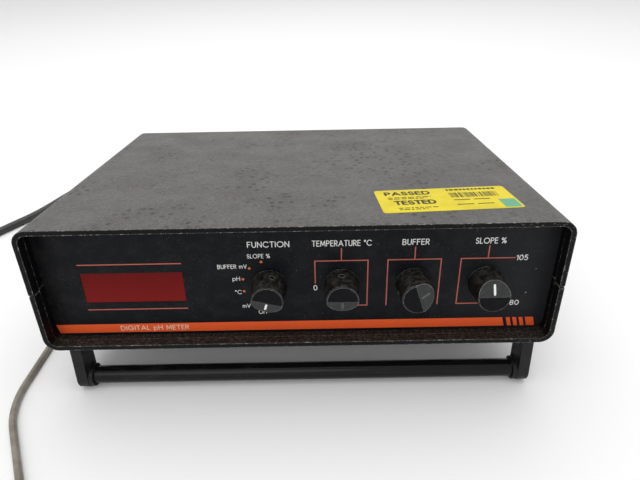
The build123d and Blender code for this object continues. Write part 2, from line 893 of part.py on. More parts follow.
transformer_screws = slotted_screws(
    Plane.XY.offset(sheet + tab_thickness),
    [(transformer_x + i * (core_width + tab_length) / 2, transformer_y) for i in (-1, 1)],
    screw_head_height,
    screw_head_radius,
    screw_radius,
    tab_thickness - touch / 2,
)
finish(transformer_screws, "transformer_screws")

# ---------------------------------------------------------------- rear sockets, fuse and leads
with BuildPart() as socket_tubes:
    with BuildSketch(rear_plane.offset(banana_cap_length)):
        with Locations(*[(-x, socket_z) for x in banana_x]):
            Circle(banana_tube_radius)
    extrude(amount=-banana_tube_length)
    with BuildSketch(rear_plane.offset(banana_cap_length)):
        with Locations(*[(-x, socket_z) for x in banana_x]):
            Circle(banana_radius)
    extrude(amount=-banana_bore, mode=Mode.SUBTRACT)
finish(socket_tubes, "socket_tubes")

with BuildPart() as socket_collars:
    with BuildSketch(rear_plane):
        with Locations(*[(-x, socket_z) for x in banana_x]):
            Circle(banana_cap_radius)
    extrude(amount=banana_cap_length)
    chamfer(socket_collars.edges().group_by(Axis.Y)[-1], banana_cap_chamfer)
    with BuildSketch(rear_plane):
        with Locations(*[(-x, socket_z) for x in banana_x]):
            Circle(banana_tube_radius)
    extrude(amount=banana_cap_length, mode=Mode.SUBTRACT)
finish(socket_collars, "socket_collars")

with BuildPart() as probe_socket:
    with BuildSketch(rear_plane):
        with Locations((-probe_x, socket_z)):
            Circle(bnc_flange_radius)
    extrude(amount=bnc_flange_thickness)
    with BuildSketch(rear_plane.offset(bnc_length)):
        with Locations((-probe_x, socket_z)):
            Circle(bnc_radius)
    extrude(amount=-2 * bnc_length)
    with BuildSketch(rear_plane.offset(bnc_length)):
        with Locations((-probe_x, socket_z)):
            Circle(bnc_radius - bnc_wall)
            Circle(bnc_radius / 2, mode=Mode.SUBTRACT)
    extrude(amount=bnc_floor - bnc_length, mode=Mode.SUBTRACT)
finish(probe_socket, "probe_socket")

with BuildPart() as socket_nuts:
    with BuildSketch(rear_plane.offset(-panel_plate)):
        with Locations(*[(-x, socket_z) for x in banana_x]):
            RegularPolygon(banana_nut_radius, 6)
            Circle(banana_tube_radius + running, mode=Mode.SUBTRACT)
        with Locations((-probe_x, socket_z)):
            RegularPolygon(bnc_flange_radius, 6)
            Circle(bnc_radius + running, mode=Mode.SUBTRACT)
    extrude(amount=-nut_thickness)
finish(socket_nuts, "socket_nuts")

with BuildPart() as probe_plug:
    with BuildSketch(rear_plane.offset(plug_gap)):
        with Locations((-probe_x, socket_z)):
            Circle(plug_radius)
    extrude(amount=plug_length - plug_gap)
    chamfer(probe_plug.faces().sort_by(Axis.Y)[-1].edges(), plug_chamfer)
    with BuildSketch(rear_plane.offset(plug_gap)):
        with Locations((-probe_x, socket_z)):
            Circle(bnc_radius + running)
    extrude(amount=bnc_length, mode=Mode.SUBTRACT)
    with BuildSketch(rear_plane.offset(plug_length)):
        with Locations((-probe_x, socket_z)):
            Circle(lead_radius + running)
    extrude(amount=-plug_grip, mode=Mode.SUBTRACT)
finish(probe_plug, "probe_plug")

with BuildPart() as plug_boot:
    with BuildSketch(rear_plane.offset(plug_length)):
        with Locations((-probe_x, socket_z)):
            Circle(boot_radius)
    extrude(amount=boot_length, taper=boot_taper)
    with BuildSketch(rear_plane.offset(plug_length)):
        with Locations((-probe_x, socket_z)):
            Circle(lead_radius + running)
    extrude(amount=boot_length, mode=Mode.SUBTRACT)
finish(plug_boot, "plug_boot")

with BuildPart() as fuse_holder:
    with BuildSketch(rear_plane):
        with Locations((-fuse_x, cord_z)):
            Circle(fuse_body_radius + fuse_flange)
    extrude(amount=fuse_wall)
    with BuildSketch(rear_plane):
        with Locations((-fuse_x, cord_z)):
            Circle(fuse_body_radius)
    extrude(amount=-fuse_body_length)
    with BuildSketch(rear_plane.offset(fuse_wall)):
        with Locations((-fuse_x, cord_z)):
            Circle(fuse_body_radius - fuse_wall)
    extrude(amount=-fuse_body_length, mode=Mode.SUBTRACT)
finish(fuse_holder, "fuse_holder")

with BuildPart() as fuse_cap:
    with BuildSketch(rear_plane.offset(fuse_wall)):
        with Locations((-fuse_x, cord_z)):
            Circle(fuse_body_radius)
    extrude(amount=fuse_cap_length)
    with BuildSketch(rear_plane.offset(fuse_wall + fuse_cap_length)):
        with Locations((-fuse_x, cord_z)):
            SlotOverall(1.4 * fuse_body_radius, fuse_slot)
    extrude(amount=-fuse_wall, mode=Mode.SUBTRACT)
finish(fuse_cap, "fuse_cap")

with BuildPart() as fuse:
    with BuildSketch(rear_plane):
        with Locations((-fuse_x, cord_z)):
            Circle(fuse_radius)
    extrude(amount=-fuse_length)
finish(fuse, "fuse")

with BuildPart() as cord_bush:
    with BuildSketch(rear_plane):
        with Locations((-cord_x, cord_z)):
            Circle(bush_radius + bush_flange)
    extrude(amount=bush_flange_thickness)
    with BuildSketch(rear_plane.offset(bush_flange_thickness)):
        with Locations((-cord_x, cord_z)):
            Circle(bush_radius)
    extrude(amount=bush_length - bush_flange_thickness, taper=bush_taper)
    with BuildSketch(rear_plane):
        with Locations((-cord_x, cord_z)):
            Circle(bush_radius - touch)
    extrude(amount=-panel_plate - bush_flange_thickness)
    with BuildSketch(rear_plane.offset(bush_length)):
        with Locations((-cord_x, cord_z)):
            Circle(cord_radius + running)
    extrude(amount=-2 * bush_length, mode=Mode.SUBTRACT)
finish(cord_bush, "cord_bush")


def lead(start, turn, table_places, bends, radius):
    """A round lead: straight back to a turn, then down and along the table, bent at each corner."""
    on_table = [table.from_local_coords((x, y - contact_y, radius)) for x, y in table_places]
    with BuildPart() as run:
        with BuildLine() as path:
            FilletPolyline(start, turn, *on_table, radius=bends)
        with BuildSketch(Plane(start, x_dir=(1, 0, 0), z_dir=(0, 1, 0))):
            Circle(radius)
        sweep(path=path.wires()[0])
    return run


lead_turn_y = 150.0
cord_start = (cord_x, rear_inner - cord_inside, cord_z)
cord_turn = (cord_x, lead_turn_y, cord_z)
cord_corners = ((-75, 219), (-228, 215), (-257, 122), (-290, 66))
cord_bends = (30, 30, 60, 120)
mains_cord = lead(cord_start, cord_turn, cord_corners, cord_bends, cord_radius)
finish(mains_cord, "mains_cord")

probe_start = (probe_x, rear_face + plug_length - plug_grip, socket_z)
probe_turn = (probe_x, lead_turn_y, socket_z)
probe_corners = ((-150, 168), (-163, 118), (-163, -108), (-128, -164))
probe_bends = (20, 20, 60, 60)
probe_lead = lead(probe_start, probe_turn, probe_corners, probe_bends, lead_radius)
finish(probe_lead, "probe_lead")

# ---------------------------------------------------------------- inspection label
with BuildPart() as inspection_label:
    with BuildSketch(Plane.XY.offset(case_height)):
        with Locations(Location((label_x, label_y), label_turn)):
            RectangleRounded(label_width, label_depth, label_corner)
    extrude(amount=label_thickness)
finish(inspection_label, "inspection_label")
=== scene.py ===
import json
import math
import random

import bmesh
import bpy
from mathutils import Matrix, Vector
from mathutils.geometry import delaunay_2d_cdt


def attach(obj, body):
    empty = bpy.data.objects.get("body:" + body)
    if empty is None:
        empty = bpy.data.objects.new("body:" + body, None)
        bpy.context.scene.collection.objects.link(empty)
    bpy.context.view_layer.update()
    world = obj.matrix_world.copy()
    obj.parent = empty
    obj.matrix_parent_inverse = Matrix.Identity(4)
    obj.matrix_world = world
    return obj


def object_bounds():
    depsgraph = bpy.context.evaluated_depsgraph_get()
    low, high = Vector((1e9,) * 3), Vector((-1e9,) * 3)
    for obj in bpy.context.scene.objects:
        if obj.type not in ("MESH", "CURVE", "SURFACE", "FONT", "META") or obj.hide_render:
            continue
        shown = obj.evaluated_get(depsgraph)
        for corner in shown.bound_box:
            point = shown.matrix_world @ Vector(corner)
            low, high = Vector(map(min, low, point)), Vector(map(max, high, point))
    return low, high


# The looks of a bench pH meter. Places are millimetres in the level case frame: +X right, +Y to the rear,
# +Z up, origin at the middle of the underside. LEAN turns that frame into the row frame, where the case
# leans back on its open stand.

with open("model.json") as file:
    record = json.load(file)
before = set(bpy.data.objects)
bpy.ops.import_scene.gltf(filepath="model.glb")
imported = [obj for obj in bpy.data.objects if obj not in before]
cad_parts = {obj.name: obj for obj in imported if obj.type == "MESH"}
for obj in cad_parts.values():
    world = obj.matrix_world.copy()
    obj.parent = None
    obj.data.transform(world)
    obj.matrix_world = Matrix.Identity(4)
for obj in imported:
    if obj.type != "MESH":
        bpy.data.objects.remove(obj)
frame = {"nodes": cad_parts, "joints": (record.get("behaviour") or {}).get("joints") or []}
cad_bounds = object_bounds()

MM = 0.001
JOINTS = {joint["name"]: joint for joint in frame["joints"]}
turn_axis = Vector(JOINTS["function_turn"]["axis"])
LEAN = Matrix.Rotation(math.atan2(turn_axis.z, turn_axis.y), 4, "X")
LEVEL = LEAN.inverted()


def case_places(node):
    """A CAD node's vertices in the case frame, in millimetres."""
    return [LEVEL @ vertex.co / MM for vertex in frame["nodes"][node].data.vertices]


def case_box(node):
    """Lowest and highest corner of a CAD node in the case frame, in millimetres."""
    places = case_places(node)
    low = Vector(min(place[i] for place in places) for i in range(3))
    high = Vector(max(place[i] for place in places) for i in range(3))
    return low, high


def joint_place(name):
    """A joint's point in the case frame, in millimetres."""
    return LEVEL @ Vector(JOINTS[name]["pos_m"]) / MM


def frame_vector(direction):
    """A direction of the case frame, turned to the row frame."""
    return LEAN.to_3x3() @ Vector(direction)


RIGHT, REAR, UP = (1, 0, 0), (0, 1, 0), (0, 0, 1)
FRONT = (0, -1, 0)
CASE_HIGH = case_box("top_cover")[1]
PANEL_LOW = case_box("front_panel")[0]
PANEL_Y = PANEL_LOW.y
KNOBS = {name: joint_place(name + "_turn") for name in ("function", "temperature", "buffer", "slope")}
KNOB_Z = KNOBS["function"].z


# ---------------------------------------------------------------- material nodes
class Paint:
    """A node-based material: a principled shader plus small helpers that add and wire nodes."""

    def __init__(self, name):
        self.material = bpy.data.materials.new(name)
        self.material.use_nodes = True
        self.tree = self.material.node_tree
        self.shader = self.tree.nodes["Principled BSDF"]
        self.place = self.add("ShaderNodeTexCoord").outputs["Object"]
        self.facing = self.add("ShaderNodeTexCoord").outputs["Normal"]

    def add(self, kind, inputs=None, **settings):
        node = self.tree.nodes.new(kind)
        for key, value in settings.items():
            setattr(node, key, value)
        for key, value in (inputs or {}).items():
            self.wire(node.inputs[key], value)
        return node

    def wire(self, socket, value):
        if isinstance(value, bpy.types.NodeSocket):
            self.tree.links.new(value, socket)
        else:
            socket.default_value = value

    def set(self, **values):
        """Sets or wires the principled shader's inputs by name."""
        for key, value in values.items():
            label = key.replace("_", " ").title().replace("Ior", "IOR")
            self.wire(self.shader.inputs[label], value)

    def noise(self, size, detail=2.0, rough=0.5, stretch=None):
        """Noise from 0 to 1 whose features are about size millimetres across."""
        where = self.place
        if stretch:
            where = self.add("ShaderNodeMapping", {"Vector": where, "Scale": stretch}).outputs[0]
        node = self.add(
            "ShaderNodeTexNoise",
            {"Vector": where, "Scale": 1 / (size * MM), "Detail": detail, "Roughness": rough},
        )
        return node.outputs["Fac"]

    def cells(self, size, dimensions="3D"):
        """Cells about size millimetres across; in 2D they run straight down through the piece."""
        return self.add(
            "ShaderNodeTexVoronoi",
            {"Vector": self.place, "Scale": 1 / (size * MM)},
            voronoi_dimensions=dimensions,
        )

    def ramp(self, value, low, high, start=0.0, end=1.0):
        """A smooth step from start to end as the value goes from low to high."""
        node = self.add(
            "ShaderNodeMapRange",
            {"Value": value, "From Min": low, "From Max": high, "To Min": start, "To Max": end},
            interpolation_type="SMOOTHSTEP",
        )
        return node.outputs["Result"]

    def math(self, operation, first, second=0.0):
        return self.add("ShaderNodeMath", {0: first, 1: second}, operation=operation).outputs[0]

    def times(self, first, *others):
        """The product of several sockets or numbers."""
        for other in others:
            first = self.math("MULTIPLY", first, other)
        return first

    def invert(self, value):
        """1 less the value."""
        return self.math("SUBTRACT", 1.0, value)

    def mix(self, factor, first, second):
        """Colour mix; first and second are colours or sockets."""
        node = self.add("ShaderNodeMix", data_type="RGBA")
        self.wire(node.inputs[0], factor)
        self.wire(node.inputs[6], colour(first))
        self.wire(node.inputs[7], colour(second))
        return node.outputs[2]

    def lay(self, base, tint, cover, strength=1.0):
        """The base colour with a tint laid over it where cover is 1, at the given strength."""
        if strength != 1.0:
            cover = self.times(cover, strength)
        return self.mix(cover, base, tint)

    def vector_math(self, operation, first, second):
        """An operation on two vectors that gives one number."""
        node = self.add("ShaderNodeVectorMath", {0: first, 1: second}, operation=operation)
        return node.outputs["Value"]

    def dot(self, first, second):
        return self.vector_math("DOT_PRODUCT", first, second)

    def bump(self, height, depth, strength=1.0):
        """A bump of depth millimetres."""
        inputs = {"Height": height, "Distance": depth * MM, "Strength": strength}
        return self.add("ShaderNodeBump", inputs).outputs["Normal"]

    def along(self, direction, low, high):
        """0 to 1 as the place moves from low to high millimetres along a direction of the case frame."""
        return self.ramp(self.dot(self.place, frame_vector(direction)), low * MM, high * MM)

    def towards(self, direction, low, high):
        """0 to 1 as the surface turns to face a direction of the case frame."""
        return self.ramp(self.dot(self.facing, frame_vector(direction)), low, high)

    def edges(self, radius):
        """1 at a convex or concave edge, 0 on open faces."""
        soft = self.add("ShaderNodeBevel", {"Radius": radius * MM}, samples=6).outputs["Normal"]
        sharp = self.add("ShaderNodeNewGeometry").outputs["Normal"]
        return self.ramp(self.dot(soft, sharp), 0.995, 0.90)


def colour(value):
    """A socket as it is, or a grey or colour as four numbers."""
    if isinstance(value, bpy.types.NodeSocket):
        return value
    if isinstance(value, (int, float)):
        return (value, value, value, 1.0)
    return (*value, 1.0)


SPOT_SIZE = 6.2  # pitch of the cells that hold the dark spots
SPOT_CLUSTER = (55, 15)  # where on the top the spots are densest, behind the label
SPOT_CLUSTER_REACH = (20, 80)
SKIN = (1.0, 0.4)  # how far under the case's outer faces the recess begins and ends


def dark_spots(paint):
    """Where the sleeve has dark spots, densest behind the label.

    The cells lie flat and run straight down through the piece, so an upright wall gets streaks.
    """
    strewn = paint.ramp(paint.noise(42, 3.0, 0.55), 0.46, 0.60, 0.15, 1.0)
    middle = LEAN @ Vector((*SPOT_CLUSTER, CASE_HIGH.z)) * MM
    away = paint.vector_math("DISTANCE", paint.place, middle)
    near, far = SPOT_CLUSTER_REACH
    cluster = paint.math("MAXIMUM", strewn, paint.ramp(away, near * MM, far * MM, 1.0, 0.0))
    cells = paint.cells(SPOT_SIZE, "2D")
    chosen = paint.ramp(cells.outputs["Color"], 0.44, 0.50)
    spot = paint.invert(paint.ramp(cells.outputs["Distance"], 0.15, 0.30))
    return paint.times(spot, chosen, cluster)


def inside_box(paint):
    """Where the sleeve is inside a box just under the case's sides and top."""
    inner, outer = SKIN
    aside = paint.math("ABSOLUTE", paint.dot(paint.place, frame_vector(RIGHT)))
    between = paint.invert(paint.ramp(aside, (CASE_HIGH.x - inner) * MM, (CASE_HIGH.x - outer) * MM))
    under = paint.invert(paint.along(UP, CASE_HIGH.z - inner, CASE_HIGH.z - outer))
    return paint.times(between, under)


def sleeve_paint():
    """Pebbled grey-black enamel: spotted, with a dusty recess painted near black as shade, front faces
    painted dark as shade, and worn pale edges that also stand in for a highlight.

    The recess's painted shade is picked out by a box, so the outside of the rounded front corners is painted
    as dark as the recess.
    """
    paint = Paint("sleeve_paint")
    up = paint.towards(UP, 0.6, 0.95)
    rim = paint.towards(FRONT, 0.45, 0.85)
    ahead = paint.invert(paint.along(REAR, PANEL_Y, PANEL_Y + 1))
    recess = paint.times(ahead, inside_box(paint))
    tone = paint.ramp(paint.noise(45, 4.0, 0.55), 0.38, 0.66)
    base = paint.mix(tone, (0.068, 0.066, 0.062), (0.056, 0.053, 0.049))
    grain = paint.ramp(paint.noise(1.6, 3.0, 0.7), 0.42, 0.60)
    base = paint.lay(base, (0.130, 0.126, 0.115), grain, 0.5)
    base = paint.lay(base, (0.020, 0.015, 0.012), dark_spots(paint), 0.9)
    rust = paint.ramp(paint.noise(22, 5.0, 0.6), 0.50, 0.70)
    base = paint.lay(base, (0.075, 0.060, 0.052), rust, 0.35)
    # Painted shade: the recess ahead of the panel is coloured near black.
    base = paint.lay(base, (0.0040, 0.0040, 0.0045), recess)
    low = paint.invert(paint.along(UP, CASE_HIGH.z / 2, CASE_HIGH.z / 2 + 1))
    grit = paint.ramp(paint.noise(1.5, 5.0, 0.8), 0.44, 0.66, 0.12, 1.0)
    base = paint.lay(base, (0.080, 0.071, 0.058), paint.times(low, recess, up), paint.times(grit, 0.9))
    # Painted shade: faces turned to the front are coloured near black.
    base = paint.lay(base, (0.0045, 0.0047, 0.0052), rim)
    glint = paint.ramp(paint.noise(1.2, 4.0, 0.7), 0.60, 0.66)
    rightward = paint.along(RIGHT, 40, 135)
    base = paint.lay(base, (0.30, 0.29, 0.27), paint.times(glint, rim, rightward), 0.6)
    # Pale edges: real edge wear, and a painted highlight where the sheet's edges catch the light.
    chips = paint.ramp(paint.noise(2.2, 6.0, 0.8), 0.50, 0.60)
    edge_wear_and_highlight = paint.math("MAXIMUM", chips, paint.times(ahead, 0.15))
    base = paint.lay(base, (0.42, 0.41, 0.38), paint.times(paint.edges(0.8), edge_wear_and_highlight), 0.85)
    dull = paint.math("MAXIMUM", paint.invert(up), recess)
    pebble = paint.noise(0.9, 3.0, 0.6)
    lumps = paint.cells(1.3).outputs["Distance"]
    height = paint.math("ADD", pebble, paint.times(lumps, 0.6))
    paint.set(
        base_color=base,
        roughness=paint.ramp(paint.noise(20, 4.0, 0.6), 0.3, 0.7, 0.42, 0.58),
        specular_ior_level=paint.ramp(dull, 0.0, 1.0, 0.5, 0.10),
        normal=paint.bump(height, 0.25, 0.9),
    )
    return paint.material


def panel_paint():
    """Satin blue-black enamel with rub marks, lint and a few pale chips, paler towards the right end and
    hazy at the left end.
    """
    paint = Paint("panel_paint")
    rub = paint.ramp(paint.noise(9, 6.0, 0.7), 0.40, 0.72)
    base = paint.mix(rub, (0.0042, 0.0048, 0.0066), (0.0100, 0.0106, 0.0128))
    # Paler towards the right end: a smooth lightening with no texture.
    right_end = paint.along(RIGHT, 60, 136)
    base = paint.lay(base, (0.0210, 0.0215, 0.0230), right_end, 0.6)
    left_end = paint.invert(paint.along(RIGHT, -138, -118))
    haze = paint.times(left_end, paint.ramp(paint.noise(6, 5.0, 0.7), 0.4, 0.7))
    base = paint.lay(base, (0.026, 0.020, 0.016), haze, 0.45)
    cells = paint.cells(9.0)
    chosen = paint.ramp(cells.outputs["Color"], 0.78, 0.80)
    chip = paint.invert(paint.ramp(cells.outputs["Distance"], 0.03, 0.055))
    base = paint.lay(base, (0.30, 0.30, 0.29), paint.times(chip, chosen))
    lint = paint.ramp(paint.noise(1.3, 4.0, 0.75), 0.60, 0.68)
    patch = paint.ramp(paint.noise(26, 3.0, 0.6), 0.40, 0.60, 0.2, 1.0)
    base = paint.lay(base, (0.085, 0.082, 0.078), paint.times(lint, patch), 0.5)
    paint.set(
        base_color=base,
        roughness=paint.ramp(paint.noise(14, 5.0, 0.7), 0.3, 0.7, 0.34, 0.5),
        specular_ior_level=0.10,
        normal=paint.bump(paint.noise(0.35, 2.0, 0.6), 0.02, 0.35),
    )
    return paint.material


def red_acrylic():
    """Deep red filter, seen with nothing lit behind it, a little darker towards its top."""
    paint = Paint("red_acrylic")
    fade = paint.along(UP, 22, 43)
    mottle = paint.ramp(paint.noise(16, 3.0, 0.5), 0.3, 0.7)
    base = paint.mix(fade, (0.170, 0.0085, 0.0075), (0.115, 0.0055, 0.0050))
    base = paint.lay(base, (0.19, 0.010, 0.009), mottle, 0.25)
    haze = paint.ramp(paint.noise(5, 4.0, 0.6), 0.3, 0.8, 0.16, 0.30)
    paint.set(base_color=base, roughness=haze, specular_ior_level=0.06)
    return paint.material


def knob_plastic(name, facet):
    """Black plastic, dusty on top, with painted shade darkening the face, a painted highlight paling the
    facet under the pointer and a painted highlight on the rim.
    """
    paint = Paint(name)
    scuff = paint.ramp(paint.noise(2.4, 6.0, 0.75), 0.38, 0.72)
    base = paint.mix(scuff, (0.0050, 0.0050, 0.0052), (0.0110, 0.0105, 0.0095))
    side = paint.invert(paint.math("ABSOLUTE", paint.dot(paint.facing, frame_vector(REAR))))
    up = paint.towards(UP, 0.1, 0.9)
    base = paint.lay(base, (0.085, 0.080, 0.068), paint.times(side, up, scuff), 0.8)
    dark = paint.mix(scuff, (0.0030, 0.0032, 0.0040), (0.0065, 0.0068, 0.0080))
    # Painted shade: the face square to the front is coloured darker than the body.
    base = paint.lay(base, dark, paint.towards(FRONT, 0.985, 0.995))
    # Painted highlight: the facet, turned up to the light, is coloured paler.
    pale = paint.mix(scuff, (0.036, 0.037, 0.038), (0.052, 0.052, 0.052))
    on_facet = paint.ramp(paint.dot(paint.facing, facet), 0.985, 0.995)
    base = paint.lay(base, pale, on_facet)
    # Painted highlight: the rim's edge is coloured pale.
    rim = paint.times(paint.edges(0.6), paint.ramp(scuff, 0.0, 1.0, 0.45, 1.0))
    base = paint.lay(base, (0.36, 0.36, 0.35), rim)
    paint.set(
        base_color=base,
        roughness=0.38,
        specular_ior_level=0.08,
        normal=paint.bump(paint.noise(0.5, 2.0, 0.5), 0.02, 0.4),
    )
    return paint.material


def moulded(name, dark, light, roughness=0.45, texture=0.5, depth=0.03):
    """Moulded plastic or rubber in two close shades with a fine texture and paler, worn edges."""
    paint = Paint(name)
    shade = paint.ramp(paint.noise(6, 5.0, 0.65), 0.35, 0.7)
    rough = paint.ramp(paint.noise(3, 4.0, 0.6), 0.3, 0.7, roughness - 0.07, roughness + 0.1)
    edge = paint.times(paint.edges(0.4), paint.ramp(paint.noise(1.5, 5, 0.7), 0.45, 0.65))
    gain, lift = 2.5, 0.02
    bright = tuple(min(1.0, channel * gain + lift) for channel in light)
    base = paint.lay(paint.mix(shade, dark, light), bright, edge, 0.6)
    fine = paint.bump(paint.noise(texture, 3.0), depth, 0.5)
    paint.set(base_color=base, roughness=rough, specular_ior_level=0.22, normal=fine)
    return paint.material


def metal(name, tint, roughness, brushed=(1.0, 1.0, 1.0)):
    """Bare metal with faint tarnish; brushed squeezes its grain along an axis, or draws it out."""
    paint = Paint(name)
    tarnish = paint.ramp(paint.noise(5, 5.0, 0.7), 0.35, 0.75)
    dull = tuple(channel * 0.6 for channel in tint)
    grain = paint.noise(0.5, 3.0, 0.6, brushed)
    paint.set(
        base_color=paint.mix(tarnish, tint, dull),
        metallic=1.0,
        roughness=paint.ramp(grain, 0.2, 0.8, roughness - 0.08, roughness + 0.12),
        normal=paint.bump(grain, 0.01, 0.3),
    )
    return paint.material


def gloss_enamel():
    """Gloss black enamel on a tube, slightly rippled, with rub marks drawn out along it."""
    paint = Paint("gloss_enamel")
    rub = paint.ramp(paint.noise(7, 5.0, 0.7, (0.35, 1, 1)), 0.5, 0.75)
    paint.set(
        base_color=paint.mix(rub, (0.0050, 0.0050, 0.0055), (0.0140, 0.0140, 0.0145)),
        roughness=paint.ramp(rub, 0.0, 1.0, 0.16, 0.34),
        specular_ior_level=0.20,
        normal=paint.bump(paint.noise(1.2, 2.0), 0.01, 0.25),
    )
    return paint.material


def sheath(name, dark, light, roughness):
    """Extruded cable sheath with soft patches and handling marks."""
    paint = Paint(name)
    patches = paint.ramp(paint.noise(9, 5.0, 0.65), 0.35, 0.7)
    soil = paint.ramp(paint.noise(2.0, 5.0, 0.75), 0.55, 0.75)
    dim = tuple(channel * 0.55 for channel in dark)
    base = paint.lay(paint.mix(patches, dark, light), dim, soil, 0.35)
    paint.set(
        base_color=base,
        roughness=paint.ramp(soil, 0.0, 1.0, roughness, roughness + 0.15),
        normal=paint.bump(paint.noise(1.4, 3.0), 0.05, 0.4),
    )
    return paint.material


def ink(name, tint, faded, roughness=0.5):
    """Screen-printed ink with slightly uneven cover."""
    paint = Paint(name)
    cover = paint.ramp(paint.noise(1.6, 5.0, 0.7), 0.42, 0.78)
    rub = paint.ramp(paint.noise(11, 4.0, 0.6), 0.45, 0.75)
    paint.set(
        base_color=paint.lay(tint, faded, paint.math("ADD", cover, rub), 0.4),
        roughness=roughness,
        specular_ior_level=0.15,
        normal=paint.bump(paint.noise(0.4), 0.01, 0.3),
    )
    return paint.material


def vinyl():
    """Yellow printed vinyl, a little uneven and soiled."""
    paint = Paint("label_vinyl")
    shade = paint.ramp(paint.noise(14, 4.0, 0.6), 0.35, 0.7)
    base = paint.mix(shade, (0.70, 0.57, 0.010), (0.60, 0.48, 0.014))
    grime = paint.ramp(paint.noise(3, 5.0, 0.8), 0.62, 0.78)
    paint.set(
        base_color=paint.lay(base, (0.35, 0.27, 0.05), grime, 0.25),
        roughness=0.38,
        specular_ior_level=0.2,
        normal=paint.bump(paint.noise(7, 3), 0.08, 0.3),
    )
    return paint.material


def collar_plastic():
    """The three rear sockets: a green reference collar, then a black and a red recorder collar."""
    paint = Paint("collar_plastic")
    low, high = case_box("socket_collars")
    middle = (low.x + high.x) / 2
    collar_gap = 4
    red_from = high.x - (high.z - low.z) - collar_gap
    is_right = paint.along(RIGHT, middle, middle + 1)
    is_red = paint.along(RIGHT, red_from, red_from + 1)
    base = paint.mix(is_right, (0.010, 0.085, 0.025), (0.012, 0.012, 0.012))
    base = paint.lay(base, (0.32, 0.012, 0.010), is_red)
    shade = paint.ramp(paint.noise(2.5, 4), 0.3, 0.8, 0.3, 0.45)
    paint.set(base_color=base, roughness=shade, normal=paint.bump(paint.noise(0.8), 0.02, 0.3))
    return paint.material


def circuit_laminate():
    """Green laminate; a brick pattern stands for the copper tracks under the resist."""
    paint = Paint("circuit_laminate")
    bricks = paint.add(
        "ShaderNodeTexBrick",
        {"Vector": paint.place, "Scale": 90.0, "Mortar Size": 0.012},
    ).outputs["Fac"]
    base = paint.mix(bricks, (0.012, 0.105, 0.030), (0.030, 0.200, 0.060))
    paint.set(base_color=base, roughness=0.35, normal=paint.bump(bricks, 0.03, 0.5))
    return paint.material


# ---------------------------------------------------------------- knob facets
def knob_facet(name):
    """The row-frame normal and the points of a knob's sloping facet.

    It is the knob's largest flat that is neither square to the panel nor one of its sides.
    """
    mesh = frame["nodes"][name + "_knob"].data
    outward = frame_vector(FRONT)
    flats = {}
    for face in mesh.polygons:
        if 0.7 < face.normal.dot(outward) < 0.97:
            key = tuple(round(value, 2) for value in face.normal)
            area, normal, points = flats.get(key, (0.0, Vector(), []))
            points.extend(mesh.vertices[i].co for i in face.vertices)
            flats[key] = (area + face.area, normal + face.normal * face.area, points)
    area, normal, points = max(flats.values(), key=lambda flat: flat[0])
    return normal.normalized(), points


FACETS = {name: knob_facet(name) for name in KNOBS}


# ---------------------------------------------------------------- materials of the CAD nodes
def dress(piece, material):
    piece.data.materials.clear()
    piece.data.materials.append(material)


def paint_nodes():
    """Gives every CAD node its material."""
    sleeve = sleeve_paint()
    steel = metal("zinc_steel", (0.56, 0.56, 0.53), 0.36)
    nickel = metal("nickel", (0.62, 0.59, 0.53), 0.28)
    aluminium = metal("bare_aluminium", (0.72, 0.73, 0.74), 0.36, (0.2, 4.0, 1.0))
    stand = moulded("stand_plastic", (0.0065, 0.0065, 0.0068), (0.0120, 0.0120, 0.0125), 0.42)
    black = moulded("black_moulding", (0.012, 0.012, 0.012), (0.022, 0.022, 0.022), 0.38)
    laminate = circuit_laminate()
    cord = sheath("cord_pvc", (0.016, 0.017, 0.016), (0.030, 0.031, 0.029), 0.42)
    rubber = moulded("feet_rubber", (0.014, 0.014, 0.014), (0.026, 0.025, 0.024), 0.7, 0.8)
    blue = moulded("capacitor_sleeve", (0.010, 0.020, 0.070), (0.015, 0.030, 0.100), 0.3)
    by_material = {
        sleeve: ("top_cover", "bottom_cover", "stand_ears"),
        panel_paint(): ("front_panel", "rear_panel"),
        red_acrylic(): ("display_window",),
        stand: ("stand_left_arm", "stand_right_arm"),
        gloss_enamel(): ("stand_tube", "stand_pins"),
        steel: (
            "cover_screws",
            "rear_panel_screws",
            "board_screws",
            "transformer_screws",
            "panel_nuts",
            "cover_pillars",
            "control_washers",
            *(name + "_grub_screw" for name in KNOBS),
        ),
        nickel: (
            "control_nuts",
            "socket_nuts",
            "socket_tubes",
            "probe_socket",
            "probe_plug",
            "board_spacers",
            *(name + "_shaft" for name in KNOBS),
        ),
        aluminium: ("side_rails", "regulator_heatsink", "function_switch", "potentiometers"),
        rubber: ("feet",),
        black: (
            "fuse_holder",
            "fuse_cap",
            "control_end_caps",
            "circuit_chips",
            "trimmers",
            "voltage_regulator",
            "display_digits",
        ),
        blue: ("smoothing_capacitors",),
        collar_plastic(): ("socket_collars",),
        laminate: ("main_board", "display_board"),
        moulded("resistor_lacquer", (0.35, 0.22, 0.10), (0.45, 0.30, 0.15), 0.35): ("resistors",),
        moulded("fuse_glass", (0.45, 0.48, 0.47), (0.60, 0.62, 0.60), 0.15): ("fuse",),
        metal("core_steel", (0.20, 0.19, 0.18), 0.5, (1, 1, 8)): ("transformer_core",),
        moulded("coil_tape", (0.60, 0.42, 0.06), (0.72, 0.52, 0.10), 0.4): ("transformer_coil",),
        cord: ("mains_cord", "cord_bush", "plug_boot"),
        sheath("lead_pvc", (0.165, 0.145, 0.115), (0.260, 0.235, 0.195), 0.45): ("probe_lead",),
        vinyl(): ("inspection_label",),
    }
    for material, names in by_material.items():
        for name in names:
            dress(frame["nodes"][name], material)
    for name, (facet, _) in FACETS.items():
        dress(frame["nodes"][name + "_knob"], knob_plastic(name + "_knob_plastic", facet))


# ---------------------------------------------------------------- printed marks
INK = 0.04  # thickness of a printed mark
SLOP = 1e-5  # points closer than this are taken as one


